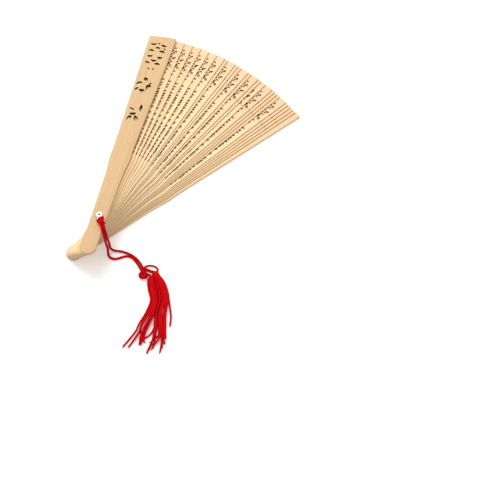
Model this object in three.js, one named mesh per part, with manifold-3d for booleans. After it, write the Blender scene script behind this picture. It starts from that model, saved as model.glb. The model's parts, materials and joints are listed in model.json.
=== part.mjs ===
// Wooden folding fan: pierced blades between two thick guards on one rivet, with a red tassel.
// Millimetres, +Z up. The fan lies part open on its rear guard, and the front guard is on top.
import * as THREE from 'three';
import { mergeVertices } from 'three/addons/utils/BufferGeometryUtils.js';
import Module from 'manifold-3d';

const wasm = await Module();
wasm.setup();

// Driving dimensions
const leafCount = 24;
const tipRadius = 170.6;
const tailRadius = 29.8;
const tipHalfWidth = 10.7;
// Half the width of a blade from its pivot to just past the shoulder: distance from the pivot, half width.
const flank = [[0, 5], [20, 5.6], [34, 5.95], [42, 6.75], [49.5, 7.25], [59, 6.95]];
const tailHalfWidth = 5.2;
const guardThickness = 1.8;
const leafThickness = 0.66;
const stickGap = 0.1;
const frontGuardAngle = 79.6;
const wideStep = 2.27;
const middleStep = 1.5;
const narrowStep = 0.857;
const boreRadius = 1.4;
const rivetRadius = 1.22;
const rivetHoleRadius = 0.7;
const flangeRadius = 2.4;
const recessRadius = 2.9;
const recessDepth = 0.75;
const cordRadius = 0.85;
const dropRadius = 15;
const dropAngle = -71;

// The blades aren't evenly spread: this is the step from each stick to the next, front to rear.
const stepPattern = 'wwwwwwnwnnwnwnmwnnnwnnnnm';
const stepOf = { w: wideStep, m: middleStep, n: narrowStep };
const stickAngles = [frontGuardAngle];
for (const letter of stepPattern) stickAngles.push(stickAngles.at(-1) - stepOf[letter]);

const leafPitch = leafThickness + stickGap;
const leafBase = (index) => guardThickness + stickGap + (leafCount - index) * leafPitch;
const frontGuardBase = leafBase(0);
const stackTop = frontGuardBase + guardThickness;

const radians = THREE.MathUtils.degToRad;
const fan = new THREE.Group();
const paleWood = { color: 0xe6c596, roughness: 0.55, metalness: 0 };
const nickel = { color: 0xdfe2e4, roughness: 0.22, metalness: 1 };
const redCord = { color: 0xc40712, roughness: 0.7, metalness: 0 };

function addPiece(name, geometry, finish, angle = 0, height = 0) {
  const mesh = new THREE.Mesh(geometry, new THREE.MeshStandardMaterial(finish));
  mesh.name = name;
  mesh.rotation.z = radians(angle);
  mesh.position.z = height;
  fan.add(mesh);
  return mesh;
}

// A round hole or rod section as a regular polygon.
function ringPoints(x, y, radius, count) {
  const points = [];
  for (let i = 0; i < count; i += 1) {
    const turn = (2 * Math.PI * i) / count;
    points.push(new THREE.Vector2(x + radius * Math.cos(turn), y + radius * Math.sin(turn)));
  }
  return points;
}

// A petal: a six-sided slot with pointed ends, turned to its own direction.
function petalPoints(x, y, length, width, angle) {
  const corners = [[0.5, 0], [0.2, 0.5], [-0.2, 0.5], [-0.5, 0], [-0.2, -0.5], [0.2, -0.5]];
  const turned = ([along, across]) => {
    const corner = new THREE.Vector2(along * length, across * width);
    return corner.rotateAround(new THREE.Vector2(), radians(angle)).add(new THREE.Vector2(x, y));
  };
  return corners.map(turned);
}

// A blade lies along +X with its pivot at the origin: round tail, neck, raised shoulder, wide tip.
function stickShape(cutOuts) {
  const shape = new THREE.Shape();
  const tailCorner = 4.6;
  const tipCorner = 0.5;
  const tipCrown = 0.3;
  const tailMiddle = tailRadius - tailCorner;
  const [[pivotRadius, pivotHalfWidth], ...pastPivot] = flank;
  shape.moveTo(pivotRadius, -pivotHalfWidth);
  for (const [radius, halfWidth] of pastPivot) shape.lineTo(radius, -halfWidth);
  shape.lineTo(tipRadius - tipCorner, -tipHalfWidth);
  shape.lineTo(tipRadius, tipCorner - tipHalfWidth);
  shape.quadraticCurveTo(tipRadius + tipCrown, 0, tipRadius, tipHalfWidth - tipCorner);
  shape.lineTo(tipRadius - tipCorner, tipHalfWidth);
  for (const [radius, halfWidth] of flank.toReversed()) shape.lineTo(radius, halfWidth);
  shape.lineTo(-tailMiddle, tailHalfWidth);
  shape.absarc(-tailMiddle, tailHalfWidth - tailCorner, tailCorner, Math.PI / 2, Math.PI);
  shape.lineTo(-tailRadius, tailCorner - tailHalfWidth);
  shape.absarc(-tailMiddle, tailCorner - tailHalfWidth, tailCorner, Math.PI, Math.PI * 1.5);
  shape.holes.push(new THREE.Path(ringPoints(0, 0, boreRadius, 12)));
  for (const points of cutOuts) shape.holes.push(new THREE.Path(points));
  return shape;
}

function stickGeometry(cutOuts, thickness) {
  return new THREE.ExtrudeGeometry(stickShape(cutOuts), { depth: thickness, bevelEnabled: false, curveSegments: 2 });
}

// Guard fretwork: distance from the pivot, place to the right of the middle line, length, width and direction.
const threadHoles = [[136.3, -2.6, 0.6], [136.3, 0.8, 0.6]];
const guardPetals = [
  [162.7, -5, 4.6, 1.5, 80], [161.9, 3.1, 4.2, 1.6, 105], [158.9, -1, 3.8, 1.5, 110], [155.7, -5.3, 4, 1.5, 105],
  [155.4, 3.2, 4.2, 1.7, 100], [149.6, -4.9, 3.6, 1.6, 75], [148.9, 3, 3.4, 1.7, 80], [145.3, -0.9, 4.2, 1.7, 95],
  [142.9, -4.8, 3.8, 1.4, 110], [142.3, 2.6, 3.8, 1.7, 95],
  [124.8, -1.3, 4, 2.2, 140], [120.6, -5.2, 4.4, 2, 60], [117.6, 1.8, 5.6, 2.6, 15],
  [113.3, -1.2, 5, 2.6, 130], [96.4, 2.1, 6.4, 1.6, 175], [94.4, -3.8, 3.4, 1.2, 150], [90.2, -1.9, 4.4, 1.8, 80],
  [85.9, -3.4, 4.6, 1.8, 25], [86.3, 1, 5.2, 2, 155],
];
const guardDots = [[163.9, -1, 0.6], [158.4, 4.3, 0.6], [121.2, 2.9, 0.65]];

function guardCutOuts() {
  const dots = [...threadHoles, ...guardDots].map(([x, y, radius]) => ringPoints(x, -y, radius, 6));
  const petals = guardPetals.map(([x, y, length, width, angle]) => petalPoints(x, -y, length, width, -angle));
  return [...dots, ...petals];
}

// Blade fretwork, alike on both sides of the blade's middle line.
const leafPetals = [[158.7, 5.4, 4.4, 2, 35], [145.7, 4.6, 4, 1.8, 145], [106.7, 3.6, 5.2, 1.8, 0], [84.7, 3.4, 6, 1.6, 0]];

function leafCutOuts() {
  const halves = [1, -1];
  return halves.flatMap((side) => leafPetals.map(([x, y, length, width, angle]) =>
    petalPoints(x, side * y, length, width, side * angle)));
}

addPiece('front_guard', stickGeometry(guardCutOuts(), guardThickness), paleWood, stickAngles[0], frontGuardBase);

for (let index = 1; index <= leafCount; index += 1) {
  const name = `leaf_${String(index).padStart(2, '0')}`;
  addPiece(name, stickGeometry(leafCutOuts(), leafThickness), paleWood, stickAngles[index], leafBase(index));
}

// The rear guard has the same outline, and a recess below for the washer and the rolled rivet end.
function solidOf(geometry) {
  geometry.deleteAttribute('normal');
  geometry.deleteAttribute('uv');
  const merged = mergeVertices(geometry, 1e-5);
  return new wasm.Manifold(new wasm.Mesh({
    numProp: 3,
    vertProperties: new Float32Array(merged.attributes.position.array),
    triVerts: new Uint32Array(merged.index.array),
  }));
}

function geometryOf(solid) {
  const mesh = solid.getMesh();
  const geometry = new THREE.BufferGeometry();
  geometry.setAttribute('position', new THREE.BufferAttribute(mesh.vertProperties, 3));
  geometry.setIndex(new THREE.BufferAttribute(mesh.triVerts, 1));
  return geometry;
}

const recess = new THREE.CylinderGeometry(recessRadius, recessRadius, 2 * recessDepth, 24);
recess.rotateX(Math.PI / 2);
const rearGuard = geometryOf(solidOf(stickGeometry(guardCutOuts(), guardThickness)).subtract(solidOf(recess)));
addPiece('rear_guard', rearGuard, paleWood, stickAngles.at(-1));

// Rivet: a tube through every stick, with a domed flange in front and its end rolled out behind.
const tagThickness = 0.4;
const tagBase = stackTop + 0.05;
const flangeBase = tagBase + tagThickness + 0.05;
const flangeHeight = 0.6;
const rolledEndBase = 0.08;
const rolledEndRadius = 1.95;
const washerBase = 0.36;
const rivetProfile = [
  [rivetHoleRadius, rolledEndBase], [rolledEndRadius, rolledEndBase], [rolledEndRadius, washerBase - 0.06],
  [rivetRadius, washerBase - 0.06], [rivetRadius, flangeBase], [flangeRadius, flangeBase],
  [flangeRadius - 0.15, flangeBase + 0.35], [flangeRadius - 0.8, flangeBase + flangeHeight],
  [rivetHoleRadius + 0.25, flangeBase + flangeHeight - 0.1], [rivetHoleRadius, flangeBase + 0.2],
  [rivetHoleRadius, rolledEndBase],
];

function turned(profile, sides) {
  const points = profile.map(([radius, height]) => new THREE.Vector2(radius, height));
  const lathe = new THREE.LatheGeometry(points, sides);
  lathe.rotateX(Math.PI / 2);
  return lathe;
}

addPiece('pivot_rivet', turned(rivetProfile, 18), nickel);
const washerThickness = 0.34;
const washerTop = washerBase + washerThickness;
const washerProfile = [
  [rivetRadius + 0.1, washerBase], [2.6, washerBase], [2.6, washerTop], [rivetRadius + 0.1, washerTop],
  [rivetRadius + 0.1, washerBase],
];
addPiece('rear_washer', turned(washerProfile, 18), nickel);

// Tag: a flat metal eye on the rivet, which widens outwards and has a slot for the cord.
const tagShape = new THREE.Shape();
tagShape.moveTo(0.4, -2.3);
tagShape.lineTo(2.4, -1.7);
tagShape.lineTo(5.6, -2.5);
tagShape.lineTo(6.3, -1.9);
tagShape.lineTo(6.3, 1.9);
tagShape.lineTo(5.6, 2.5);
tagShape.lineTo(2.4, 1.7);
tagShape.lineTo(0.4, 2.3);
tagShape.absarc(0, 0, 2.33, radians(80), radians(280));
tagShape.holes.push(new THREE.Path(ringPoints(0, 0, rivetRadius + 0.12, 12)));
const slotCorners = [[4.1, -1.6], [5.2, -1.6], [5.2, 1.6], [4.1, 1.6]];
tagShape.holes.push(new THREE.Path(slotCorners.map(([x, y]) => new THREE.Vector2(x, y))));
const tagGeometry = new THREE.ExtrudeGeometry(tagShape, { depth: tagThickness, bevelEnabled: false, curveSegments: 6 });
addPiece('tassel_tag', tagGeometry, nickel, dropAngle, tagBase);

// Tassel: the cord is hitched to the tag, hangs beside the tail and lies on the table.
const hitchMiddle = 8.6;
const hitchHeight = stackTop + 1.9;
const hitchGeometry = new THREE.SphereGeometry(1, 12, 8);
hitchGeometry.scale(1.95, 2.6, 1.45);
hitchGeometry.translate(hitchMiddle, 0, hitchHeight);
addPiece('tassel_hitch', hitchGeometry, redCord, dropAngle);

// A cord is an eight-sided tube along a smooth curve through its route points.
function cordGeometry(route, radius, steps) {
  const curve = new THREE.CatmullRomCurve3(route.map(([x, y, z]) => new THREE.Vector3(x, y, z)), false, 'centripetal');
  const section = new THREE.Shape(ringPoints(0, 0, radius, 8));
  return new THREE.ExtrudeGeometry(section, { steps, extrudePath: curve, bevelEnabled: false });
}

const strandOffset = 0.88;
const floorHeight = cordRadius + 0.05;
const hangingRoute = [
  [10.9, hitchHeight], [11.8, hitchHeight - 0.15], [13, hitchHeight - 0.75], [14.1, hitchHeight - 1.9],
  [14.8, hitchHeight - 3.6], [dropRadius, hitchHeight - 6], [dropRadius, 14], [dropRadius, 10], [dropRadius, 7],
  [dropRadius, 4.6],
];
const dropSides = { cord_drop_left: -strandOffset, cord_drop_right: strandOffset };
for (const [name, offset] of Object.entries(dropSides)) {
  const route = hangingRoute.map(([reach, height]) => [reach, offset, height]);
  addPiece(name, cordGeometry(route, cordRadius, 16), redCord, dropAngle);
}

const rightStrandRoute = [
  [5.71, -13.9, 4.3], [5.95, -13.92, 3.1], [6.85, -14, 1.8], [8.2, -14.15, 1.1], [9.8, -14.3, floorHeight],
  [12.6, -14.7, floorHeight], [16, -15.8, floorHeight], [19.6, -17.6, floorHeight], [22.9, -20.2, floorHeight],
  [25.5, -23.3, floorHeight], [27.6, -26.8, floorHeight], [29, -29.6, floorHeight],
];
const leftStrandRoute = [
  [4.05, -14.47, 4.3], [4.05, -14.7, 3.1], [4.1, -15.6, 1.8], [4.3, -16.9, 1.1], [4.9, -18.5, floorHeight],
  [6.3, -20.2, floorHeight], [8.6, -21.1, floorHeight], [11.4, -20.9, floorHeight], [14.4, -20.1, floorHeight],
  [17.6, -19.9, floorHeight], [20.5, -21.1, floorHeight], [23, -23.8, floorHeight], [25.2, -27.3, floorHeight],
  [26.7, -30, floorHeight],
];
addPiece('cord_strand_right', cordGeometry(rightStrandRoute, cordRadius, 22), redCord);
addPiece('cord_strand_left', cordGeometry(leftStrandRoute, cordRadius, 26), redCord);

const knotRadius = 1.8;
const knotCordRadius = 1.15;
const knotGeometry = new THREE.TorusGeometry(knotRadius, knotCordRadius, 8, 16);
knotGeometry.translate(28.6, -33.2, knotCordRadius + 0.05);
addPiece('tassel_knot', knotGeometry, redCord);

const neckGeometry = new THREE.SphereGeometry(1, 12, 8);
neckGeometry.scale(2.2, 2.6, 2.2);
neckGeometry.rotateZ(radians(30));
neckGeometry.translate(34.2, -33.2, 2.3);
addPiece('tassel_neck', neckGeometry, redCord);

const loopRoute = [
  [31.4, -29.2, 1.2], [32.6, -27.6, 1], [34.8, -26.8, 0.8], [37.2, -27.4, 0.7], [38.4, -28.8, 0.7], [38, -30.4, 0.8],
  [37, -31.2, 1.1],
];
addPiece('tassel_loop', cordGeometry(loopRoute, 0.5, 14), redCord);

// Skirt: the outer form of the bundle of yarns, which spreads towards its frayed ends.
const skirtShape = new THREE.Shape();
skirtShape.moveTo(32.6, -36.6);
skirtShape.quadraticCurveTo(35, -46, 34.2, -57);
skirtShape.quadraticCurveTo(31, -70, 20.4, -83.6);
skirtShape.lineTo(30, -87.4);
skirtShape.lineTo(44, -88.4);
skirtShape.lineTo(48.4, -70);
skirtShape.quadraticCurveTo(48, -50, 41.6, -38.6);
skirtShape.lineTo(37.8, -35.6);
const skirtGeometry = new THREE.ExtrudeGeometry(skirtShape, { depth: 4.2, bevelEnabled: false, curveSegments: 5 });
addPiece('tassel_skirt', skirtGeometry, redCord, 0, 0.05);

// The fan stands on the frame's origin: the middle of its own outline, without the tassel, at table height.
const cordPieces = /tassel_(?!tag)|cord_/;
const outline = new THREE.Box3();
fan.updateMatrixWorld(true);
for (const mesh of fan.children) {
  if (!cordPieces.test(mesh.name)) outline.expandByObject(mesh, true);
}
const middle = outline.getCenter(new THREE.Vector3());
fan.position.set(-middle.x, -middle.y, -outline.min.z);

export default fan;
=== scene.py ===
import json
import math
import random

import bpy
import numpy as np
from mathutils import Matrix, Vector


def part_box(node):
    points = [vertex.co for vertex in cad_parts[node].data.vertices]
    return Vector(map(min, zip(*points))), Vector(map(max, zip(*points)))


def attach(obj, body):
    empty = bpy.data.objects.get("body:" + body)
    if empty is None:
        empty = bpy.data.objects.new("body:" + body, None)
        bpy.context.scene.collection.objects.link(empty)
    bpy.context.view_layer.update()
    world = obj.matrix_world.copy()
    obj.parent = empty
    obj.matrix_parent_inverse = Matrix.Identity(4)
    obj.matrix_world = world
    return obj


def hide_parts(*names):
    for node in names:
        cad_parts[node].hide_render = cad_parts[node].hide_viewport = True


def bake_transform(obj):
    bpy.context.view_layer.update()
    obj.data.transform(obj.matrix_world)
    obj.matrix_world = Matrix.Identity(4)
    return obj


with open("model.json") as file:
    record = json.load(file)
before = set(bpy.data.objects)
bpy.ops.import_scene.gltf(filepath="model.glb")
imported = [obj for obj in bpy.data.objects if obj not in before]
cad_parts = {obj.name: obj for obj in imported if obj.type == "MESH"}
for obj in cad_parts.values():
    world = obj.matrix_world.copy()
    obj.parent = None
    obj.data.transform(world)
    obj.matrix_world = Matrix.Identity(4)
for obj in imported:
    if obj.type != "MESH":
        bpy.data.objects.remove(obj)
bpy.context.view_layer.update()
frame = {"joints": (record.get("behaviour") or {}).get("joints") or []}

mm = 0.001
tableSkin = 0.02 * mm  # nothing reaches lower than this
closeBy = 0.01 * mm  # how near a vertex counts as on a line
joints = {joint["name"]: joint for joint in frame["joints"]}
pivot = Vector(joints["fan_opening"]["pos_m"])


def report(stage):
    print("fan:", stage)


# camera, at the height from which a fan on a table is looked at
cameraSetup = {
    "place": (0.042698, -0.350447, 0.417157),
    "tilt": 32.655,  # degrees from straight down
    "lens": 53.5,
    "sensor": 36,
    "nearest": 0.01,
}

cameraData = bpy.data.cameras.new("fanCamera")
cameraData.lens = cameraSetup["lens"]
cameraData.sensor_width = cameraSetup["sensor"]
cameraData.clip_start = cameraSetup["nearest"]
camera = bpy.data.objects.new("fanCamera", cameraData)
camera.location = cameraSetup["place"]
camera.rotation_euler = (math.radians(cameraSetup["tilt"]), 0, 0)
bpy.context.scene.collection.objects.link(camera)
bpy.context.scene.camera = camera
bpy.context.scene.view_settings.view_transform = "Standard"


def newGroup(name, inputs, outputs):
    group = bpy.data.node_groups.new(name, "ShaderNodeTree")
    for socketName, kind, value in inputs:
        socket = group.interface.new_socket(socketName, in_out="INPUT", socket_type=kind)
        if value is not None:
            socket.default_value = value
    for socketName, kind in outputs:
        group.interface.new_socket(socketName, in_out="OUTPUT", socket_type=kind)
    return group, group.nodes.new("NodeGroupInput"), group.nodes.new("NodeGroupOutput")


def mathNode(tree, operation, first, second, clamp=False):
    node = tree.nodes.new("ShaderNodeMath")
    node.operation = operation
    node.use_clamp = clamp
    for socket, value in zip(node.inputs, (first, second)):
        if hasattr(value, "links"):
            tree.links.new(value, socket)
        else:
            socket.default_value = value
    return node.outputs[0]


def mixColour(tree, factor, first, second):
    node = tree.nodes.new("ShaderNodeMix")
    node.data_type = "RGBA"
    for socket, value in zip((node.inputs[0], node.inputs[6], node.inputs[7]), (factor, first, second)):
        if hasattr(value, "links"):
            tree.links.new(value, socket)
        elif isinstance(value, tuple):
            socket.default_value = (*value, 1)
        else:
            socket.default_value = value
    return node.outputs[2]


def stretchedNoise(tree, vector, scale, detail=3.0, roughness=0.5):
    # noise drawn out along the blade or the cord
    mapping = tree.nodes.new("ShaderNodeMapping")
    mapping.inputs["Scale"].default_value = scale
    noise = tree.nodes.new("ShaderNodeTexNoise")
    noise.inputs["Scale"].default_value = 1
    noise.inputs["Detail"].default_value = detail
    noise.inputs["Roughness"].default_value = roughness
    tree.links.new(vector, mapping.inputs["Vector"])
    tree.links.new(mapping.outputs[0], noise.inputs["Vector"])
    return noise.outputs[0]


def remap(tree, value, low, high, newLow=0.0, newHigh=1.0):
    node = tree.nodes.new("ShaderNodeMapRange")
    node.inputs["From Min"].default_value = low
    node.inputs["From Max"].default_value = high
    node.inputs["To Min"].default_value = newLow
    node.inputs["To Max"].default_value = newHigh
    tree.links.new(value, node.inputs["Value"])
    return node.outputs[0]


def buildWoodGrain():
    # Place is in millimetres: X along the blade, Y across it
    group, inputs, outputs = newGroup(
        "straightGrain",
        [("Place", "NodeSocketVector", None), ("Strength", "NodeSocketFloat", 1.0)],
        [("Streaks", "NodeSocketFloat"), ("Pores", "NodeSocketFloat"), ("Relief", "NodeSocketFloat")],
    )
    place, strength = inputs.outputs["Place"], inputs.outputs["Strength"]
    bands = remap(group, stretchedNoise(group, place, (0.012, 0.42, 0.42), 3, 0.55), 0.3, 0.72)
    lines = remap(group, stretchedNoise(group, place, (0.03, 2.6, 2.6), 4, 0.6), 0.34, 0.7)
    streaks = mathNode(group, "ADD", mathNode(group, "MULTIPLY", bands, 0.55),
                       mathNode(group, "MULTIPLY", lines, 0.45))
    pores = remap(group, stretchedNoise(group, place, (0.28, 7.5, 7.5), 2, 0.4), 0.6, 0.74)
    scaled = mathNode(group, "MULTIPLY", streaks, strength, clamp=True)
    group.links.new(scaled, outputs.inputs["Streaks"])
    group.links.new(mathNode(group, "MULTIPLY", pores, strength, clamp=True), outputs.inputs["Pores"])
    relief = mathNode(group, "SUBTRACT", mathNode(group, "MULTIPLY", lines, 0.4), pores)
    group.links.new(relief, outputs.inputs["Relief"])
    return group


def buildThreadTwist():
    # fine fibres that lie along the plies, from the piece's own map, and the depth of the grooves between
    # them, which the cord material paints as shade
    group, inputs, outputs = newGroup(
        "threadTwist",
        [("Place", "NodeSocketVector", None), ("Slant", "NodeSocketFloat", 0.5),
         ("Groove", "NodeSocketFloat", 0.0)],
        [("Fibres", "NodeSocketFloat"), ("Depth", "NodeSocketFloat"), ("Relief", "NodeSocketFloat")],
    )
    split = group.nodes.new("ShaderNodeSeparateXYZ")
    group.links.new(inputs.outputs["Place"], split.inputs[0])
    slanted = mathNode(group, "ADD", split.outputs["Y"],
                       mathNode(group, "MULTIPLY", split.outputs["X"], inputs.outputs["Slant"]))
    joined = group.nodes.new("ShaderNodeCombineXYZ")
    group.links.new(split.outputs["X"], joined.inputs["X"])
    group.links.new(slanted, joined.inputs["Y"])
    fibres = remap(group, stretchedNoise(group, joined.outputs[0], (0.5, 34, 1), 3, 0.6), 0.3, 0.7)
    patches = remap(group, stretchedNoise(group, joined.outputs[0], (0.16, 1.6, 1), 2, 0.5), 0.35, 0.65)
    group.links.new(mathNode(group, "ADD", mathNode(group, "MULTIPLY", fibres, 0.6),
                             mathNode(group, "MULTIPLY", patches, 0.4)), outputs.inputs["Fibres"])
    depth = mathNode(group, "POWER", inputs.outputs["Groove"], 1.6)
    group.links.new(depth, outputs.inputs["Depth"])
    group.links.new(mathNode(group, "SUBTRACT", fibres, depth), outputs.inputs["Relief"])
    return group


def buildHandling():
    # faint marks of use on plated metal
    group, inputs, outputs = newGroup(
        "handlingMarks",
        [("Place", "NodeSocketVector", None), ("Scale", "NodeSocketFloat", 1.0)],
        [("Smudge", "NodeSocketFloat"), ("Scratches", "NodeSocketFloat")],
    )
    scaled = group.nodes.new("ShaderNodeVectorMath")
    scaled.operation = "SCALE"
    group.links.new(inputs.outputs["Place"], scaled.inputs[0])
    group.links.new(inputs.outputs["Scale"], scaled.inputs["Scale"])
    smudge = remap(group, stretchedNoise(group, scaled.outputs[0], (0.8, 0.8, 0.8), 3, 0.5), 0.35, 0.7)
    scratches = remap(group, stretchedNoise(group, scaled.outputs[0], (0.9, 14, 3), 2, 0.5), 0.55, 0.72)
    group.links.new(smudge, outputs.inputs["Smudge"])
    group.links.new(scratches, outputs.inputs["Scratches"])
    return group


straightGrain = buildWoodGrain()
threadTwist = buildThreadTwist()
handlingMarks = buildHandling()


def newMaterial(name):
    material = bpy.data.materials.new(name)
    material.use_nodes = True
    return material, material.node_tree, material.node_tree.nodes["Principled BSDF"]


def placeGroup(tree, group, **values):
    node = tree.nodes.new("ShaderNodeGroup")
    node.node_tree = group
    for socketName, value in values.items():
        node.inputs[socketName].default_value = value
    return node


def attributeNode(tree, name):
    node = tree.nodes.new("ShaderNodeAttribute")
    node.attribute_name = name
    return node.outputs["Fac"]


def addBump(tree, shader, height, strength, distance):
    bump = tree.nodes.new("ShaderNodeBump")
    bump.inputs["Strength"].default_value = strength
    bump.inputs["Distance"].default_value = distance
    tree.links.new(height, bump.inputs["Height"])
    tree.links.new(bump.outputs[0], shader.inputs["Normal"])


sandalwood = {
    "pale": (0.85, 0.63, 0.375),
    "tan": (0.76, 0.52, 0.272),
    "deep": (0.67, 0.43, 0.20),  # colour of the darkest blades
    "pore": (0.42, 0.23, 0.10),
    "burnAndShade": (0.012, 0.005, 0.003),  # burnt walls of the cut-outs, darkened to near black as painted shade in the holes
    "toneShare": 0.55,
    "tip": (0.72, 0.46, 0.27),  # the blades are darker towards the tips
    "tipShare": 0.55,
    "tipStart": 0.62,  # share of the way to the tip
    "poreShare": 0.35,
    "roughness": (0.5, 0.66),
}


def buildWood(name, colours, strength, bumpDistance):
    material, tree, shader = newMaterial(name)
    grainMap = tree.nodes.new("ShaderNodeUVMap")
    grainMap.uv_map = "grainMap"
    grain = placeGroup(tree, straightGrain, Strength=strength)
    tree.links.new(grainMap.outputs[0], grain.inputs["Place"])
    colour = mixColour(tree, grain.outputs["Streaks"], colours["pale"], colours["tan"])
    tone = mathNode(tree, "MULTIPLY", attributeNode(tree, "tone"), colours["toneShare"])
    colour = mixColour(tree, tone, colour, colours["deep"])
    tipwards = remap(tree, attributeNode(tree, "reach"), colours["tipStart"], 1, 0, colours["tipShare"])
    colour = mixColour(tree, tipwards, colour, colours["tip"])
    pores = mathNode(tree, "MULTIPLY", grain.outputs["Pores"], colours["poreShare"])
    colour = mixColour(tree, pores, colour, colours["pore"])
    # burnt walls and edges, darkened further as painted shade in the holes and in the lines between the
    # sticks
    colour = mixColour(tree, attributeNode(tree, "burnAndShade"), colour, colours["burnAndShade"])
    tree.links.new(colour, shader.inputs["Base Color"])
    roughness = remap(tree, grain.outputs["Streaks"], 0, 1, *colours["roughness"])
    tree.links.new(roughness, shader.inputs["Roughness"])
    shader.inputs["Specular IOR Level"].default_value = 0.35
    addBump(tree, shader, grain.outputs["Relief"], 0.35, bumpDistance)
    return material


guardColours = dict(sandalwood, pale=(0.60, 0.40, 0.20), tan=(0.52, 0.328, 0.15), tipShare=0.0)
rearColours = dict(sandalwood, pale=(0.80, 0.57, 0.34), tan=(0.70, 0.47, 0.25), tipShare=0.2)
bladeWood = buildWood("bladeSandalwood", sandalwood, 0.75, 0.03 * mm)
guardWood = buildWood("guardSandalwood", guardColours, 0.9, 0.05 * mm)
rearGuardWood = buildWood("rearGuardSandalwood", rearColours, 0.9, 0.05 * mm)


cordFinish = {
    "bright": (0.70, 0.001, 0.004), "dark": (0.36, 0.0, 0.003),
    "slant": 1.1, "roughness": 0.6,
}
yarnFinish = {
    "bright": (0.78, 0.001, 0.004), "dark": (0.42, 0.0, 0.003),
    "slant": 0.7, "roughness": 0.55,
}


def buildCordMaterial(name, finish):
    dark, roughness = finish["dark"], finish["roughness"]
    material, tree, shader = newMaterial(name)
    threadMap = tree.nodes.new("ShaderNodeUVMap")
    threadMap.uv_map = "threadMap"
    twist = placeGroup(tree, threadTwist, Slant=finish["slant"])
    tree.links.new(threadMap.outputs[0], twist.inputs["Place"])
    tree.links.new(attributeNode(tree, "groove"), twist.inputs["Groove"])
    fibreColour = mixColour(tree, twist.outputs["Fibres"], dark, finish["bright"])
    grooveShadeColour = tuple(0.35 * part for part in dark)
    # the grooves between the plies are painted darker: painted shade in the crevices
    colour = mixColour(tree, twist.outputs["Depth"], fibreColour, grooveShadeColour)
    tree.links.new(colour, shader.inputs["Base Color"])
    tree.links.new(remap(tree, twist.outputs["Fibres"], 0, 1, roughness + 0.12, roughness),
                   shader.inputs["Roughness"])
    shader.inputs["Specular IOR Level"].default_value = 0.05
    addBump(tree, shader, twist.outputs["Relief"], 0.5, 0.06 * mm)
    return material


cordRed = buildCordMaterial("twistedCordRed", cordFinish)
yarnRed = buildCordMaterial("skirtYarnRed", yarnFinish)


nickelFinish = {"clean": (0.92, 0.93, 0.94), "smudged": (0.78, 0.80, 0.82), "roughness": (0.16, 0.28)}


def buildNickel():
    material, tree, shader = newMaterial("brightNickel")
    objectPlace = tree.nodes.new("ShaderNodeTexCoord")
    marks = placeGroup(tree, handlingMarks, Scale=900.0)
    tree.links.new(objectPlace.outputs["Object"], marks.inputs["Place"])
    colour = mixColour(tree, marks.outputs["Smudge"], nickelFinish["clean"], nickelFinish["smudged"])
    tree.links.new(colour, shader.inputs["Base Color"])
    shader.inputs["Metallic"].default_value = 1
    smudged = remap(tree, marks.outputs["Smudge"], 0, 1, *nickelFinish["roughness"])
    rough = mathNode(tree, "ADD", smudged, mathNode(tree, "MULTIPLY", marks.outputs["Scratches"], 0.1))
    tree.links.new(rough, shader.inputs["Roughness"])
    addBump(tree, shader, marks.outputs["Scratches"], 0.12, 0.01 * mm)
    return material


nickel = buildNickel()
report("camera and materials ready")


def smoothRoute(points, step):
    # a smooth curve through the points, cut into even steps
    points = [Vector(point) for point in points]
    chain = [2 * points[0] - points[1], *points, 2 * points[-1] - points[-2]]
    fine = []
    for a, b, c, d in zip(chain, chain[1:], chain[2:], chain[3:]):
        for k in range(20):
            t = k / 20
            fine.append(0.5 * (2 * b + (c - a) * t + (2 * a - 5 * b + 4 * c - d) * t ** 2
                               + (3 * b - a - 3 * c + d) * t ** 3))
    fine.append(points[-1])
    gone = [0.0]
    for p, q in zip(fine, fine[1:]):
        gone.append(gone[-1] + (q - p).length)
    count = max(2, math.ceil(gone[-1] / step))
    wanted = np.linspace(0, gone[-1], count + 1)
    table = np.array(fine)
    even = np.stack([np.interp(wanted, gone, table[:, axis]) for axis in range(3)], axis=1)
    return [Vector(row) for row in even]


def newStore():
    return {"points": [], "grooves": [], "faces": [], "maps": []}


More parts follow.
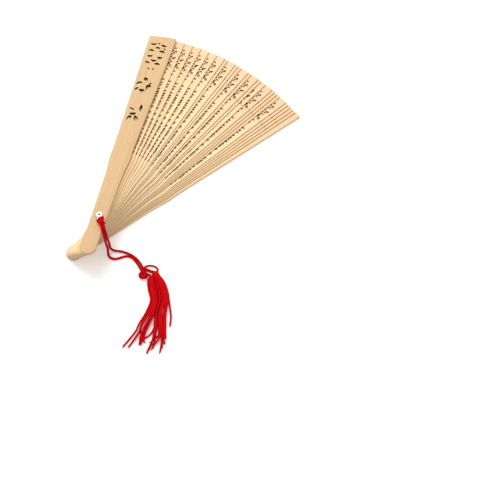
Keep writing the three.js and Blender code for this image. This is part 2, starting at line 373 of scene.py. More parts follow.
def layTube(store, line, radius, plies=3, pitch=3.2 * mm, sides=15, lobe=0.2, start=0.0, taper=0.0):
    # one twisted cord: its plies are lobes that turn as it goes along
    first = len(store["points"])
    normal = (line[1] - line[0]).orthogonal().normalized()
    along = start
    alongs = []
    for i, centre in enumerate(line):
        before, after = line[max(i - 1, 0)], line[min(i + 1, len(line) - 1)]
        tangent = (after - before).normalized()
        normal = (normal - tangent * normal.dot(tangent)).normalized()
        across = tangent.cross(normal)
        if i:
            along += (centre - line[i - 1]).length
        alongs.append(along)
        here = radius * (1 - taper * i / (len(line) - 1))
        for j in range(sides):
            angle = 2 * math.pi * j / sides
            wave = abs(math.cos(plies * (angle - 2 * math.pi * along / pitch) / 2)) if plies else 1.0
            reach = here * (1 - lobe + lobe * wave) if plies else here
            point = centre + (normal * math.cos(angle) + across * math.sin(angle)) * reach
            point.z = max(point.z, tableSkin)
            store["points"].append(point)
            store["grooves"].append(1 - wave)
    for i in range(len(line) - 1):
        for j in range(sides):
            k = (j + 1) % sides
            low, high = first + i * sides, first + (i + 1) * sides
            store["faces"].append((low + j, low + k, high + k, high + j))
            girth = 2 * math.pi * radius / mm
            near, far = girth * j / sides, girth * (j + 1) / sides
            here, there = alongs[i] / mm, alongs[i + 1] / mm
            store["maps"].append([(here, near), (here, far), (there, far), (there, near)])
    for ring, centre, direction in ((0, line[0], -1), (len(line) - 1, line[-1], 1)):
        tip = len(store["points"])
        outwards = (line[-1] - line[-2]) if direction > 0 else (line[0] - line[1])
        peak = centre + outwards.normalized() * radius * 0.45 * (1 - taper * (direction > 0))
        peak.z = max(peak.z, tableSkin)
        store["points"].append(peak)
        store["grooves"].append(0.3)
        for j in range(sides):
            k = (j + 1) % sides
            low = first + ring * sides
            store["faces"].append((low + k, low + j, tip) if direction < 0 else (low + j, low + k, tip))
            store["maps"].append([(alongs[ring] / mm, 0)] * 3)


def finishStore(store, name, material):
    mesh = bpy.data.meshes.new(name)
    mesh.from_pydata(store["points"], [], store["faces"])
    layer = mesh.uv_layers.new(name="threadMap")
    corners = [corner for face in store["maps"] for corner in face]
    layer.data.foreach_set("uv", [part for corner in corners for part in corner])
    groove = mesh.attributes.new("groove", "FLOAT", "POINT")
    groove.data.foreach_set("value", store["grooves"])
    mesh.materials.append(material)
    mesh.shade_smooth()
    piece = bpy.data.objects.new(name, mesh)
    bpy.context.scene.collection.objects.link(piece)
    return piece


def settle(piece, body, slotName, *nodes):
    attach(piece, body)
    if nodes:
        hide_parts(*nodes)
    return piece


cordSetup = {
    "radius": 0.85,  # millimetres, as are the routes below
    "dropAngle": -71,  # direction from the rivet to where the cord hangs
    "step": 0.3,
    "pitch": 3.4,
}

# reach from the rivet, half the spread of the two strands, height
hangingRoute = [
    (10.0, 0.8, 23.9), (11.4, 0.78, 23.75), (12.8, 0.78, 23.09), (14.0, 0.78, 21.94), (14.7, 0.78, 20.24),
    (15, 0.78, 17.84), (15, 0.8, 14.5), (15, 1.0, 11), (15, 0.92, 8), (15, 0.86, 5.2),
]
# across, back and height from the foot of the rivet
rightStrand = [
    (5.71, -13.9, 4.3), (5.95, -13.92, 3.1), (6.85, -14, 1.8), (8.2, -14.15, 1.1), (9.8, -14.3, 0.9),
    (12.6, -14.7, 0.9), (16, -15.8, 0.9), (19.6, -17.6, 0.9), (22.9, -20.2, 0.9), (25.5, -23.3, 0.9),
    (27.6, -26.8, 0.9), (29.3, -30, 0.95), (31, -32.4, 1.3), (33, -33.6, 1.8),
]
leftStrand = [
    (4.05, -14.47, 4.3), (4.05, -14.7, 3.1), (4.1, -15.6, 1.8), (4.3, -16.9, 1.1), (4.9, -18.4, 0.9),
    (6.4, -19.9, 0.9), (8.7, -20.6, 0.9), (11.4, -20.1, 0.9), (14.4, -18.9, 0.9), (17.8, -18.5, 0.9),
    (21, -20.3, 0.9), (23.5, -23.4, 0.9), (25.8, -27, 0.9), (27.7, -30.3, 0.95), (29.2, -32.7, 1.3),
    (31, -34.8, 1.8),
]


def fromRivet(x, y, z):
    return pivot + Vector((x, y, z)) * mm


def alongDrop(reach, lateral, height):
    # a point beside the tag: reach away from the rivet, lateral to its right seen from above
    turn = math.radians(cordSetup["dropAngle"])
    x = reach * math.cos(turn) - lateral * math.sin(turn)
    y = reach * math.sin(turn) + lateral * math.cos(turn)
    return fromRivet(x, y, height)


def buildStrand(name, side, groundRoute, nodes):
    hanging = [alongDrop(reach, side * spread, height) for reach, spread, height in hangingRoute]
    line = smoothRoute(hanging + [fromRivet(*point) for point in groundRoute], cordSetup["step"] * mm)
    store = newStore()
    layTube(store, line, cordSetup["radius"] * mm, pitch=cordSetup["pitch"] * mm)
    strand = finishStore(store, name, cordRed)
    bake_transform(strand)
    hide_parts(*nodes)
    return strand, line


rightNodes, leftNodes = ("cord_drop_right", "cord_strand_right"), ("cord_drop_left", "cord_strand_left")
rightCord, rightLine = buildStrand("cordStrandRight", 1, rightStrand, rightNodes)
leftCord, leftLine = buildStrand("cordStrandLeft", -1, leftStrand, leftNodes)
report("two strands laid")

# each cord of the hitch: reach from the rivet, place to the right, height
hitchSetup = {
    "radius": 0.84,
    "cords": [
        [(10.4, 0.8, 23.85), (9.2, 0.78, 24.1), (7.6, 1.05, 24.35), (6, 1.45, 24.4), (4.6, 1.7, 24.2),
         (3.6, 1.7, 23.6), (3.4, 1.6, 22.9)],
        [(10.4, -0.8, 23.85), (9.2, -0.8, 24), (7.8, -1.15, 24.05), (6.5, -1.65, 23.9), (5.3, -2, 23.6),
         (4.6, -2, 23.2), (4.4, -1.9, 22.8)],
        [(8.8, 0.4, 24.5), (7.4, 0.45, 24.75), (6, 0.5, 24.7), (4.7, 0.45, 24.3), (3.6, 0.4, 23.7),
         (3.4, 0.4, 22.9)],
        [(8.8, -0.4, 24.4), (7.4, -0.5, 24.65), (6.2, -0.65, 24.5), (4.9, -0.8, 24.2), (3.8, -0.85, 23.6),
         (3.6, -0.85, 22.9)],
        [(6.4, -1.7, 23.2), (6.8, -1.4, 24.2), (7.2, -0.6, 24.95), (7.7, 0.3, 25.15), (8.2, 1.1, 24.8),
         (8.5, 1.55, 24.1), (8.2, 1.6, 23.4)],
    ],
}


def buildHitch():
    # the doubled cord goes through the slot of the tag, and its bight lies across both legs
    store = newStore()
    for cord in hitchSetup["cords"]:
        line = smoothRoute([alongDrop(*spot) for spot in cord], cordSetup["step"] * mm)
        layTube(store, line, hitchSetup["radius"] * mm, pitch=cordSetup["pitch"] * mm)
    return settle(finishStore(store, "cordHitch", cordRed), "front_guard", "red_cord", "tassel_hitch")


hitch = buildHitch()

knotSetup = {
    "middle": (28.7, -33.4),
    "ringRadius": 2.0,
    "radius": 1.33,
    "rise": 1.1,
    "firstTurn": -60, "turnStep": 30, "turns": 18,  # in degrees, and how many steps
    "shrink": 0.008,  # share of the ring's radius that each step takes off
    "neckRadius": 1.15,
    "loopRadius": 0.68,
}
neckRoute = [
    (28.9, -29.4, 1.3), (30.1, -29.5, 2.2), (31.9, -30.5, 2.7), (34.1, -31.5, 2.8),
    (36.2, -32, 2.6), (37.8, -32.6, 2.1), (38.7, -33.6, 1.5),
]
loopRoute = [
    (28.6, -28.6, 1.9), (29.2, -27.2, 1.3), (30.5, -26, 0.8), (32.4, -25.6, 0.72), (34.8, -26, 0.72),
    (36.8, -27.1, 0.72), (37.9, -28.9, 0.75), (37.5, -30.6, 1.2), (36.2, -31.4, 1.6),
]


def buildKnot():
    # a small ring of one and a half turns
    store = newStore()
    setup = knotSetup
    x, y = setup["middle"]
    route = []
    for k in range(setup["turns"] + 1):
        turn = math.radians(setup["firstTurn"] + setup["turnStep"] * k)
        ring = setup["ringRadius"] * (1 - setup["shrink"] * k)
        height = setup["radius"] + 0.05 + setup["rise"] * (k / setup["turns"]) ** 1.4
        route.append(fromRivet(x + ring * math.cos(turn), y + ring * math.sin(turn), height))
    layTube(store, smoothRoute(route, cordSetup["step"] * mm), setup["radius"] * mm, pitch=3.8 * mm)
    return settle(finishStore(store, "tasselRingKnot", cordRed), "tassel", "red_cord", "tassel_knot")


def buildNeck():
    # the thick cord that crosses from the ring to the top of the skirt; the yarns hook over it
    store = newStore()
    line = smoothRoute([fromRivet(*point) for point in neckRoute], cordSetup["step"] * mm)
    layTube(store, line, knotSetup["neckRadius"] * mm, pitch=4 * mm)
    return settle(finishStore(store, "tasselNeck", cordRed), "tassel", "red_cord", "tassel_neck")


def buildLoop():
    store = newStore()
    line = smoothRoute([fromRivet(*point) for point in loopRoute], 0.25 * mm)
    layTube(store, line, knotSetup["loopRadius"] * mm, plies=2, pitch=2.8 * mm, sides=10)
    return settle(finishStore(store, "tasselLoop", cordRed), "tassel", "red_cord", "tassel_loop")


knot = buildKnot()
neck = buildNeck()
loop = buildLoop()


skirtSetup = {
    "radius": 0.7,
    "pitch": 3.4,
    "step": 0.42,
    "layers": (-0.9, 0.75, 0),  # heights that the yarns of a bunch take in turn
    "yarnSpacing": 0.75,
    "fibres": 5,  # at each frayed end
    "fibreRadius": 0.14,
    # from the top down: back, left edge, right edge, height
    "stations": [(-38, 32.2, 42.1, 3.1), (-45, 33.2, 45, 3.1), (-52, 35, 46.4, 2.7)],
    # how many yarns each bunch has, and its own way down from there
    "bunches": [
        (1, [(32.8, -60.4), (28.6, -68.5), (27, -73), (23.6, -79), (20.4, -84)]),
        (1, [(33.9, -60.4), (29.9, -68.5), (29.6, -73), (31, -78), (31, -82.6)]),
        (2, [(35.7, -60), (33, -65), (31, -69.5), (29.3, -74.3), (26.3, -79.5), (23.6, -84)]),
        (3, [(37, -61), (35, -65.8), (33, -70.3), (31.5, -75.6), (30.6, -79), (30.5, -82)]),
        (2, [(38, -60.4), (36, -66.7), (33.4, -73), (32.4, -77.3), (33, -81)]),
        (1, [(38.4, -61), (38.7, -68.5), (37.6, -73), (35.8, -76.4), (33.6, -78.2), (32.2, -79.6)]),
        (2, [(39.2, -61), (38.9, -70), (38.3, -77), (37, -82.5), (35.2, -88)]),
        (1, [(40, -61.5), (39.5, -71.5), (38.8, -78), (39.1, -82), (38.2, -85.5)]),
        (2, [(41.1, -62), (42, -73), (41.6, -76), (39.8, -78)]),
        (2, [(41.8, -61), (42.6, -73), (42.4, -77.6), (41.2, -80.5), (39.2, -82.6), (36.8, -80.8)]),
        (3, [(43, -61), (43.8, -73.8), (43.8, -81), (43.4, -87.4)]),
        (3, [(44.7, -61), (44.8, -73.8), (45.2, -78.2), (46, -81.4)]),
        (1, [(47.6, -58), (48.4, -64), (47.9, -69.6)]),
    ],
}


def yarnRoute(share, layer, sideways, lowerRoute, draws):
    # share runs from 0 at the left edge of the skirt to 1 at its right edge
    radius = skirtSetup["radius"]
    x, y = 33.8 + 4.2 * share, -34.6 + 1.9 * share
    hooked = layer > 0 and share > 0.3
    route = [(x - 0.2, y + 1.6, 1.5), (x - 0.1, y + 1.2, 3.2)] if hooked else []
    route.append((x, y, 4.1 if hooked else 2.3))
    for back, left, right, height in skirtSetup["stations"]:
        route.append((left + (right - left) * share + sideways, back, height + layer))
    phase = draws.uniform(0, 2 * math.pi)
    for k, (across, back) in enumerate(lowerRoute):
        down = k / (len(lowerRoute) - 1)
        sway = sideways * (1 - 0.3 * down) + 0.3 * math.sin(phase + 5 * down)
        height = 2.3 - 1.5 * down + layer * (1 - 0.6 * down)
        route.append((across + sway, back + 0.5 * sideways * down, height))
    return [fromRivet(across, back, max(radius + 0.05, height)) for across, back, height in route]


def buildSkirt():
    draws = random.Random(11)
    store = newStore()
    radius = skirtSetup["radius"]
    bunches = skirtSetup["bunches"]
    for bunch, (count, lowerRoute) in enumerate(bunches):
        for yarn in range(count):
            layer = skirtSetup["layers"][yarn % 3] + draws.uniform(-0.15, 0.15)
            sideways = (yarn - (count - 1) / 2) * skirtSetup["yarnSpacing"] + draws.uniform(-0.2, 0.2)
            route = yarnRoute(bunch / (len(bunches) - 1), layer, sideways, lowerRoute, draws)
            line = smoothRoute(route, skirtSetup["step"] * mm)
            cutShort = int(draws.uniform(0, 0.07) * len(line)) if yarn else 0
            line = line[:len(line) - cutShort]
            thickness, start = radius * draws.uniform(0.92, 1.06), draws.uniform(0, 3)
            layTube(store, line, thickness * mm, plies=2, pitch=skirtSetup["pitch"] * mm, sides=8,
                    lobe=0.22, start=start * mm)
            frayEnd(store, line, draws)
    return settle(finishStore(store, "tasselSkirt", yarnRed), "tassel", "red_cord", "tassel_skirt")


def frayEnd(store, line, draws):
    # loose fibres that spread from the end of a yarn
    heading = (line[-1] - line[-4]).normalized()
    sideways = Vector((-heading.y, heading.x, 0))
    for fibre in range(skirtSetup["fibres"]):
        spread = draws.uniform(-0.4, 0.4)
        reach = draws.uniform(0.9, 2.0) * mm
        foot = line[-2] + sideways * spread * 0.8 * mm
        route = []
        for k in range(4):
            t = k / 3
            point = foot + heading * reach * t + sideways * spread * reach * t * t
            height = foot.z + (0.2 - 0.5 * t + (fibre % 3 - 1) * 0.12) * mm
            point.z = max(skirtSetup["fibreRadius"] * mm, height)
            route.append(point)
        layTube(store, route, skirtSetup["fibreRadius"] * mm, plies=0, sides=5, taper=0.6)


skirt = buildSkirt()
report("tassel made")


def pickOnly(piece, *others):
    bpy.ops.object.select_all(action="DESELECT")
    for other in (*others, piece):
        other.select_set(True)
    bpy.context.view_layer.objects.active = piece


def selectVertices(piece, test):
    # in edit mode: selects the vertices whose place passes the test, and the edges and faces between them
    bpy.ops.mesh.select_mode(type="VERT")
    bpy.ops.mesh.select_all(action="DESELECT")
    bpy.ops.object.mode_set(mode="OBJECT")
    for vertex in piece.data.vertices:
        vertex.select = test(vertex.co)
    bpy.ops.object.mode_set(mode="EDIT")


def applyModifier(piece, kind, **settings):
    pickOnly(piece)
    modifier = piece.modifiers.new(kind.lower(), kind)
    for setting, value in settings.items():
        setattr(modifier, setting, value)
    bpy.ops.object.modifier_apply(modifier=modifier.name)


stickSetup = {
    "tip": 170.6, "tipHalfWidth": 10.7, "tipCorner": 0.5, "tipCrown": 0.3,
    "guardExtra": 0.9,  # the guards reach a little past the blades
    # half the width at each distance from the pivot; from the first one on it widens evenly to the tip
    "flank": {60: 7.05, 56: 6.95, 51.5: 7.2, 47.5: 7.1, 43: 6.6, 39: 6.2, 34: 5.9, 20: 5.55, 0: 5.1,
              -12: 4.95},
    "tail": 29.8, "tailHalfWidth": 5.2, "tailCorner": 4.6,
    "bore": 1.4,
    "bladeThickness": 0.66, "guardThickness": 1.8,
    "bladeBevel": 0.13, "guardBevel": 0.16,
    "bladeEdgeBurnAndShade": 0.5, "guardEdgeBurnAndShade": 0.22,  # how dark the outer edges are: burnt edges, with painted shade for the dark lines between the sticks
    "recess": 2.9, "recessDepth": 0.75,
    "cutterDepth": 8,
}


def stickBlank(name, thickness, tip):
    # a stick lies along X with its pivot at the origin
    s = stickSetup
    length, width = (tip + s["tail"]) * mm, 2 * s["tipHalfWidth"] * mm
    bpy.ops.object.select_all(action="DESELECT")
    bpy.ops.mesh.primitive_cube_add(size=1, location=((tip - s["tail"]) / 2 * mm, 0, thickness / 2 * mm),
                                    scale=(length, width, thickness * mm))
    blank = bpy.context.object
    blank.name = blank.data.name = name
    bpy.ops.object.transform_apply(location=True, rotation=True, scale=True)
    tailStations = (s["tailCorner"] + 0.3 - s["tail"], -s["tail"])
    stations = {**s["flank"], **dict.fromkeys(tailStations, s["tailHalfWidth"])}
    bpy.ops.object.mode_set(mode="EDIT")
    for station in list(stations)[:-1]:
        bpy.ops.mesh.select_all(action="SELECT")
        bpy.ops.mesh.bisect(plane_co=(station * mm, 0, 0), plane_no=(1, 0, 0))
    for station, halfWidth in stations.items():
        selectVertices(blank, lambda co: abs(co.x - station * mm) < closeBy)
        bpy.ops.transform.resize(value=(1, halfWidth / s["tipHalfWidth"], 1),
                                 center_override=(station * mm, 0, 0))
    roundEnd(blank, -s["tail"], s["tailCorner"], 7)
    roundEnd(blank, tip, s["tipCorner"], 3)
    crownTip(blank, tip)
    bpy.ops.object.mode_set(mode="OBJECT")
    return blank


def roundEnd(blank, station, corner, segments):
    # rounds the two upright edges at one end
    for side in (1, -1):
        selectVertices(blank, lambda co: abs(co.x - station * mm) < closeBy and side * co.y > 1 * mm)
        bpy.ops.mesh.select_mode(type="EDGE")
        bpy.ops.mesh.bevel(offset=corner * mm, segments=segments, affect="EDGES")


def crownTip(blank, tip):
    # the end of the tip is a shallow arch
    s = stickSetup
    selectVertices(blank, lambda co: co.x > tip * mm - closeBy)
    bpy.ops.mesh.select_mode(type="EDGE")
    bpy.ops.mesh.subdivide(number_cuts=7)
    bpy.ops.object.mode_set(mode="OBJECT")
    flat = (s["tipHalfWidth"] - s["tipCorner"]) * mm
    for vertex in blank.data.vertices:
        if vertex.co.x > tip * mm - closeBy:
            vertex.co.x += s["tipCrown"] * mm * (1 - min(1, abs(vertex.co.y) / flat) ** 2)
    bpy.ops.object.mode_set(mode="EDIT")


# cut-outs: distance from the pivot, place to the right, length, width, direction, bend, taper
guardPetals = [
    (162.7, -5, 4.8, 1.6, 82, -0.5, 0), (161.9, 3.1, 4.42, 1.79, 102, -0.4, -0.3),
    (158.9, -1, 4.03, 1.5, 96, 0.65, 0), (155.7, -5.3, 4.22, 1.69, 97, 0.35, 0.2),
    (155.4, 3.2, 4.42, 1.79, 97, 0.35, -0.2), (149.6, -4.9, 3.84, 1.88, 84, -0.45, 0.1),
    (148.9, 3, 3.84, 1.97, 92, -0.45, 0), (145.3, -0.9, 4.51, 1.69, 92, -0.65, 0),
    (142.6, -4.9, 4.03, 1.6, 108, 0, -0.2), (142, 2.6, 4.22, 1.79, 93, 0.4, 0),
    (124.8, -1.3, 4.2, 2.6, 140, 0, -0.5), (120.6, -5.4, 4.6, 2, 60, 0.3, 0),
    (117.4, 1.9, 5.6, 3.1, 15, 0, 0.5), (113.1, -1.7, 5, 3, 125, 0.25, 0.5),
    (114.6, -6, 3.6, 1.5, 30, 0.2, 0), (96.4, 2.3, 6.4, 1.9, 175, 0, 0.3),
    (94.6, -4, 3.8, 1.5, 115, -0.4, 0), (90.2, -2.2, 4.6, 2, 80, -0.35, 0.2),
    (85.9, -4, 4.8, 2.1, 25, 0, 0.5), (86.3, 1, 5.6, 2.6, 155, 0, 0.5),
]
guardDots = [
    (163.9, -1, 0.65), (158.4, 4.3, 0.65), (121.2, 2.9, 0.7), (136.3, -2.6, 0.65), (136.3, 0.8, 0.65),
]

# one half of a blade's lace; the other half mirrors it
bladePetals = [
    (158.6, 6.5, 4.8, 2.5, 12, 0, -0.3), (160.6, 4, 2.39, 1.25, 80, 0, 0.2),
    (156.4, 3.8, 2.2, 1.15, 100, 0, 0.2), (153.8, 4.1, 2.7, 1.25, 80, 0, 0.2),
    (150.7, 3.9, 2.39, 1.38, 65, 0, 0.2), (146, 4.3, 4.47, 2.38, 20, 0, -0.4),
    (152.4, 6.9, 3.95, 1.88, 32, 0.2, 0), (148.9, 6, 2.08, 1.5, 100, 0, 0),
    (143.9, 6.8, 3.8, 1.8, 150, -0.2, 0), (129.4, 4.9, 3.12, 1.5, 90, 0, 0),
    (106.7, 5.07, 5.62, 1.88, 0, 0, 0), (84.7, 5.2, 6.45, 1.69, 0, 0, 0),
    (67, 5.05, 6.45, 1.5, 0, 0, 0), (101.3, 5.1, 2.5, 1.62, 0, 0, 0), (95.5, 5.15, 2.7, 1.62, 0, 0, 0),
    (90, 5.15, 2.5, 1.56, 0, 0, 0), (79.1, 4.95, 2.5, 1.5, 0, 0, 0), (75.2, 5, 2.5, 1.38, 0, 0, 0),
    (71.9, 5, 2.08, 1.38, 0, 0, 0), (61.2, 4.75, 2.91, 1.17, 0, 0, 0), (57.2, 4.8, 2.7, 1.06, 0, 0, 0),
    (126.6, 1.9, 3.12, 1.49, 140, 0, 0.3), (121.4, 1.9, 3.74, 1.72, 160, 0.1, 0.3),
    (110.6, 1.9, 3.33, 1.49, 30, 0, 0.4), (104.4, 1.7, 2.91, 1.38, 150, 0, 0),
    (98.4, 1.7, 2.91, 1.38, 30, 0, 0), (92.6, 1.7, 2.91, 1.38, 150, 0, 0),
    (81.8, 1.7, 2.91, 1.38, 30, 0, 0),
    (147.6, 1.5, 2.91, 1.38, 160, 0, 0.3),
]
bladeDots = [
    (163.4, 5.4, 0.78), (140.4, 5.2, 0.73), (136.7, 4.5, 0.73), (126, 5.15, 0.73), (123.4, 5.05, 0.78),
    (119.4, 5.05, 0.84), (116.6, 5.05, 0.78), (114.4, 5.05, 0.78), (111.6, 5.05, 1.12),
]
bladeMiddle = [
    (164.6, 0, 2.6, 1.61, 0, 0, 0.2), (152.6, 0, 4, 1.72, 0, 0, 0.3), (142.4, 0, 3, 1.61, 0, 0, 0),
    (115.8, 0, 4, 1.84, 0, 0, 0.3), (87, 0, 4, 1.61, 0, 0, 0.3), (75.6, 0, 3.6, 1.38, 0, 0, 0.2),
    (66, 0, 4.6, 1.38, 0, 0, 0.2),
]


def addCutter(cutter, place, across, length, width, direction, bend, taper, sides):
    # in edit mode: one more cutting column, curved like a petal
    bpy.ops.object.mode_set(mode="OBJECT")
    before = len(cutter.data.vertices)
    bpy.ops.object.mode_set(mode="EDIT")
    bpy.ops.mesh.select_all(action="DESELECT")
    bpy.ops.mesh.primitive_cylinder_add(vertices=sides, radius=0.5, location=(0, 0, 0),
                                        depth=stickSetup["cutterDepth"] * mm)
    bpy.ops.object.mode_set(mode="OBJECT")
    turn = Matrix.Rotation(math.radians(-direction), 2)
    for vertex in list(cutter.data.vertices)[before:]:
        lengthwise, crosswise = 2 * vertex.co.x, 2 * vertex.co.y
        pointed = abs(crosswise) ** 0.35 if length > 1.3 * width else 1
        x = 0.5 * length * lengthwise
        y = 0.5 * width * crosswise * pointed * (1 + taper * lengthwise)
        y -= bend * width * (lengthwise ** 2 - 0.4)
        spot = turn @ Vector((x, y)) + Vector((place, -across))
        vertex.co.x, vertex.co.y = spot.x * mm, spot.y * mm
    bpy.ops.object.mode_set(mode="EDIT")


def newCutter(petals, dots):
    s = stickSetup
    bpy.ops.object.select_all(action="DESELECT")
    bpy.ops.mesh.primitive_cylinder_add(vertices=32, radius=s["bore"] * mm, location=(0, 0, 0),
                                        depth=s["cutterDepth"] * mm)
    cutter = bpy.context.object
    bpy.ops.object.mode_set(mode="EDIT")
    for place, across, length, width, direction, bend, taper in petals:
        addCutter(cutter, place, across, length, width, direction, bend, taper, 16)
    for place, across, radius in dots:
        addCutter(cutter, place, across, 2 * radius, 2 * radius, 0, 0, 0, 12)
    bpy.ops.object.mode_set(mode="OBJECT")
    return cutter


def cutWith(piece, cutter):
    applyModifier(piece, "BOOLEAN", operation="DIFFERENCE", object=cutter, solver="EXACT")
    bpy.data.objects.remove(cutter)


def markStick(stick, edgeBurnAndShade):
    # the grain's own map, the share of the way to the tip, and how burnt each face is, with painted shade
    # added on the hole walls and outer edges
    mesh = stick.data
    layer = mesh.uv_layers.new(name="grainMap") if not mesh.uv_layers else mesh.uv_layers[0]
    layer.name = "grainMap"
    for index, corner in enumerate(mesh.loops):
        co = mesh.vertices[corner.vertex_index].co
        layer.data[index].uv = (co.x / mm, (co.y + 1.3 * co.z) / mm)
    reach = mesh.attributes.new("reach", "FLOAT", "POINT")
    reach.data.foreach_set("value", [vertex.co.x / (stickSetup["tip"] * mm) for vertex in mesh.vertices])
    burnAndShade = mesh.attributes.new("burnAndShade", "FLOAT", "FACE")
    values = []
    for face in mesh.polygons:
        upright = 1 - abs(face.normal.z)
        if upright < 0.05:
            values.append(0.0)
        else:
            # outer walls: burn plus painted shade for the lines between sticks; other walls: burn plus
            # painted shade in the holes
            values.append(edgeBurnAndShade * upright if isOuterWall(face.center) else 1.0)
    burnAndShade.data.foreach_set("value", values)


def isOuterWall(centre):
    s = stickSetup
    x, y = centre.x / mm, abs(centre.y / mm)
    stations = sorted({**s["flank"], s["tip"]: s["tipHalfWidth"]}.items())
    edge = np.interp(x, *zip(*stations))
    return y > edge - 0.6 or x > s["tip"] - 1.7 or x < -6


def finishStick(stick, bevelWidth, material, edgeBurnAndShade):
    applyModifier(stick, "BEVEL", width=bevelWidth * mm, segments=2, limit_method="ANGLE",
                  angle_limit=math.radians(50), use_clamp_overlap=False)
    bpy.ops.object.shade_smooth_by_angle(angle=math.radians(35))
    stick.data.materials.clear()
    stick.data.materials.append(material)
    markStick(stick, edgeBurnAndShade)


def placeStick(stick, angle, base, tone, shift):
    # turns the stick about the pivot, raises it, and gives it its own piece of the grain
    stick.rotation_euler = (0, 0, math.radians(angle))
    stick.location = pivot + Vector((0, 0, base))
    pickOnly(stick)
    bpy.ops.object.transform_apply(location=True, rotation=True, scale=True)
    mesh = stick.data
    values = mesh.attributes.new("tone", "FLOAT", "FACE")
    values.data.foreach_set("value", [tone] * len(mesh.polygons))
    layer = mesh.uv_layers["grainMap"]
    for corner in layer.data:
        corner.uv = corner.uv + Vector(shift)


# angles at rest, from the front guard to the rear guard, in degrees
spreadSetup = {
    "frontGuard": 79.6,
    "steps": {"w": 2.27, "m": 1.5, "n": 0.857},
    "pattern": "wwwwwwnwnnwnwnmwnnnwnnnnm",
}
stickAngles = [spreadSetup["frontGuard"]]
for letter in spreadSetup["pattern"]:
    stickAngles.append(stickAngles[-1] - spreadSetup["steps"][letter])
leafCount = len(stickAngles) - 2

bothSides = [*bladePetals, *[(p, -a, n, w, -d, -b, t) for p, a, n, w, d, b, t in bladePetals], *bladeMiddle]
bothDots = [*bladeDots, *[(p, -a, r) for p, a, r in bladeDots]]
blade = stickBlank("blade", stickSetup["bladeThickness"], stickSetup["tip"])
cutWith(blade, newCutter(bothSides, bothDots))
finishStick(blade, stickSetup["bladeBevel"], bladeWood, stickSetup["bladeEdgeBurnAndShade"])
report("blade cut: %d faces" % len(blade.data.polygons))

toneDraws = random.Random(5)
for index in range(1, leafCount + 1):
    node = "leaf_%02d" % index
    pickOnly(blade)
    bpy.ops.object.duplicate()
    leaf = bpy.context.object
    leaf.name = leaf.data.name = "blade_%02d" % index
    shift = (toneDraws.uniform(0, 400), toneDraws.uniform(0, 90))
    placeStick(leaf, stickAngles[index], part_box(node)[0].z, toneDraws.uniform(0, 1) ** 1.6, shift)
    settle(leaf, node, "sandalwood", node)
bpy.data.objects.remove(blade)
report("24 blades placed")


def buildGuard(name, node, angle, material, rear):
    s = stickSetup
    guard = stickBlank(name, s["guardThickness"], s["tip"] + s["guardExtra"])
    cutWith(guard, newCutter(guardPetals, guardDots))
    if rear:
        bpy.ops.object.select_all(action="DESELECT")
        bpy.ops.mesh.primitive_cylinder_add(vertices=48, radius=s["recess"] * mm,
                                            depth=2 * s["recessDepth"] * mm, location=(0, 0, 0))
        cutWith(guard, bpy.context.object)
    finishStick(guard, s["guardBevel"], material, s["guardEdgeBurnAndShade"])
    grainShift = (37, 13) if rear else (211, 13)
    placeStick(guard, angle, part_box(node)[0].z, 0.1, grainShift)
    return settle(guard, node, "sandalwood", node)


frontGuard = buildGuard("frontGuard", "front_guard", stickAngles[0], guardWood, rear=False)
rearGuard = buildGuard("rearGuard", "rear_guard", stickAngles[-1], rearGuardWood, rear=True)
report("guards placed")


def turnedPiece(name, profile, sides, material):
    # a ring that is extruded and scaled from each point of the profile to the next, and joined to itself
    bpy.ops.object.select_all(action="DESELECT")
    radius, height = profile[0]
    centre = (pivot.x, pivot.y, 0)
    bpy.ops.mesh.primitive_circle_add(vertices=sides, radius=radius, fill_type="NOTHING",
                                      location=(pivot.x, pivot.y, height))
    piece = bpy.context.object
    piece.name = piece.data.name = name
    bpy.ops.object.transform_apply(location=True, rotation=True, scale=True)
    bpy.ops.object.mode_set(mode="EDIT")
    bpy.ops.mesh.select_all(action="SELECT")
    for nextRadius, nextHeight in [*profile[1:], profile[0]]:
        bpy.ops.mesh.extrude_region_move(TRANSFORM_OT_translate={"value": (0, 0, nextHeight - height)})
        bpy.ops.transform.resize(value=(nextRadius / radius, nextRadius / radius, 1), center_override=centre)
        radius, height = nextRadius, nextHeight
    bpy.ops.mesh.select_all(action="SELECT")
    bpy.ops.mesh.remove_doubles(threshold=0.005 * mm)
    bpy.ops.mesh.normals_make_consistent(inside=False)
    bpy.ops.object.mode_set(mode="OBJECT")
    piece.data.materials.append(material)
    return piece


def softenMetal(piece, width):
    applyModifier(piece, "BEVEL", width=width * mm, segments=2, limit_method="ANGLE",
                  angle_limit=math.radians(28), use_clamp_overlap=True)
    bpy.ops.object.shade_smooth_by_angle(angle=math.radians(40))


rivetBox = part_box("pivot_rivet")
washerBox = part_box("rear_washer")
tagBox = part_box("tassel_tag")
rivetSetup = {
    "hole": 0.6, "dish": 1.2, "shank": 1.22, "flange": 2.4, "rolled": 1.95,  # radii in millimetres
    "flangeHeight": 0.6, "rolledHeight": 0.24, "dishDepth": 0.55,
    "washer": 2.6, "looseness": 0.1,
}


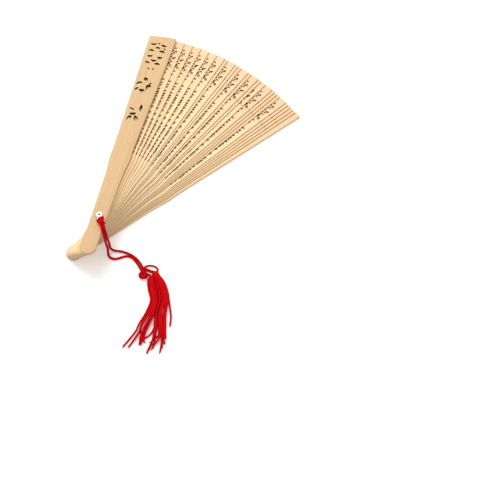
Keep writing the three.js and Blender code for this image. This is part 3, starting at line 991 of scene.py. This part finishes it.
def buildRivet():
    r = {key: value * mm for key, value in rivetSetup.items()}
    low, high = rivetBox[0].z, rivetBox[1].z
    flangeBase = high - r["flangeHeight"]
    profile = [
        (r["hole"], low + 0.1 * mm), (r["hole"] + 0.3 * mm, low), (r["rolled"] - 0.25 * mm, low),
        (r["rolled"], low + 0.1 * mm), (r["rolled"], low + r["rolledHeight"] - 0.06 * mm),
        (r["rolled"] - 0.2 * mm, low + r["rolledHeight"]), (r["shank"], low + r["rolledHeight"]),
        (r["shank"], flangeBase), (r["flange"] - 0.15 * mm, flangeBase), (r["flange"], flangeBase + 0.1 * mm),
        (r["flange"] - 0.05 * mm, flangeBase + 0.26 * mm), (r["flange"] - 0.35 * mm, flangeBase + 0.46 * mm),
        (r["flange"] - 0.6 * mm, high - 0.02 * mm), (r["dish"] + 0.25 * mm, high),
        (r["dish"] + 0.05 * mm, high - 0.06 * mm), (r["dish"] - 0.1 * mm, high - 0.2 * mm),
        (r["hole"] + 0.15 * mm, high - r["dishDepth"]), (r["hole"], high - r["dishDepth"] - 0.15 * mm),
    ]
    rivet = turnedPiece("hollowRivet", profile, 48, nickel)
    pickOnly(rivet)
    bpy.ops.object.shade_smooth_by_angle(angle=math.radians(40))
    return settle(rivet, "front_guard", "nickel", "pivot_rivet")


def buildWasher():
    low, high = washerBox[0].z, washerBox[1].z
    inner, outer = (rivetSetup["shank"] + rivetSetup["looseness"]) * mm, rivetSetup["washer"] * mm
    profile = [(inner, low), (outer, low), (outer, high), (inner, high)]
    washer = turnedPiece("rearWasher", profile, 48, nickel)
    softenMetal(washer, 0.08)
    return settle(washer, "front_guard", "nickel", "rear_washer")


tagSetup = {
    "eye": 2.33, "bore": 1.34,
    "arm": [(2.5, 1.7), (4.0, 1.85), (5.6, 2.15), (6.3, 1.8)],  # reach and half width
    "slotPlace": 4.65, "slotSize": (1.1, 3.2, 4),
}


def buildTag():
    # a flat eye whose outer end widens round the slot that holds the cord
    base, top = tagBox[0].z, tagBox[1].z
    bpy.ops.object.select_all(action="DESELECT")
    bpy.ops.mesh.primitive_cylinder_add(vertices=40, radius=tagSetup["eye"] * mm, depth=top - base,
                                        location=(0, 0, (top - base) / 2))
    tag = bpy.context.object
    tag.name = tag.data.name = "cordTag"
    bpy.ops.object.transform_apply(location=True, rotation=True, scale=True)
    bpy.ops.object.mode_set(mode="EDIT")
    bpy.ops.mesh.select_mode(type="FACE")
    bpy.ops.mesh.select_all(action="DESELECT")
    bpy.ops.object.mode_set(mode="OBJECT")
    for face in tag.data.polygons:  # the walls that face outwards grow into the arm
        face.select = abs(face.normal.z) < 0.1 and face.normal.x > 0.62
    bpy.ops.object.mode_set(mode="EDIT")
    for reach, halfWidth in tagSetup["arm"]:
        bpy.ops.mesh.extrude_region_move()
        bpy.ops.object.mode_set(mode="OBJECT")
        chosen = [vertex for vertex in tag.data.vertices if vertex.select]
        widest = max(abs(vertex.co.y) for vertex in chosen)
        for vertex in chosen:
            vertex.co.y *= halfWidth * mm / widest
            vertex.co.x = reach * mm
        bpy.ops.object.mode_set(mode="EDIT")
    bpy.ops.object.mode_set(mode="OBJECT")
    bpy.ops.object.select_all(action="DESELECT")
    bpy.ops.mesh.primitive_cylinder_add(vertices=32, radius=tagSetup["bore"] * mm, depth=4 * mm,
                                        location=(0, 0, 0))
    cutWith(tag, bpy.context.object)
    bpy.ops.object.select_all(action="DESELECT")
    bpy.ops.mesh.primitive_cube_add(size=1, location=(tagSetup["slotPlace"] * mm, 0, 0),
                                    scale=[side * mm for side in tagSetup["slotSize"]])
    cutWith(tag, bpy.context.object)
    softenMetal(tag, 0.09)
    tag.data.materials.clear()
    tag.data.materials.append(nickel)
    tag.rotation_euler = (0, 0, math.radians(cordSetup["dropAngle"]))
    tag.location = (pivot.x, pivot.y, base)
    pickOnly(tag)
    bpy.ops.object.transform_apply(location=True, rotation=True, scale=True)
    return settle(tag, "front_guard", "nickel", "tassel_tag")


rivet = buildRivet()
washer = buildWasher()
tag = buildTag()
report("rivet, washer and tag made")

studio = {
    "floor": (0.9, 0.9, 0.9),
    "floorSize": 30,
    "floorGlow": 0.15,  # keeps the shadows on the floor pale
    "worldStrength": 0.77,
    "key": {"place": (-0.28, 0.42, 0.85), "size": 0.75, "energy": 7.6},
    "fill": {"place": (0.5, -0.5, 0.9), "size": 1.0, "energy": 1.5},
}


def buildFloor():
    bpy.ops.object.select_all(action="DESELECT")
    bpy.ops.mesh.primitive_plane_add(size=studio["floorSize"], location=(0, 0, 0))
    floor = bpy.context.object
    floor.name = "studioFloor"
    material, tree, shader = newMaterial("paleFloor")
    shader.inputs["Base Color"].default_value = (*studio["floor"], 1)
    shader.inputs["Roughness"].default_value = 0.9
    shader.inputs["Specular IOR Level"].default_value = 0.1
    shader.inputs["Emission Color"].default_value = (1, 1, 1, 1)
    shader.inputs["Emission Strength"].default_value = studio["floorGlow"]
    floor.data.materials.append(material)


def addSoftbox(name, setup):
    data = bpy.data.lights.new(name, "AREA")
    data.shape = "SQUARE"
    data.size = setup["size"]
    data.energy = setup["energy"]
    softbox = bpy.data.objects.new(name, data)
    softbox.location = setup["place"]
    softbox.rotation_euler = (-Vector(setup["place"])).to_track_quat("-Z", "Y").to_euler()
    bpy.context.scene.collection.objects.link(softbox)


buildFloor()
addSoftbox("keyLight", studio["key"])
addSoftbox("fillLight", studio["fill"])
world = bpy.data.worlds.new("paleRoom")
world.use_nodes = True
background = world.node_tree.nodes["Background"]
background.inputs["Color"].default_value = (1, 1, 1, 1)
background.inputs["Strength"].default_value = studio["worldStrength"]
bpy.context.scene.world = world

bpy.context.view_layer.update()
report("done")
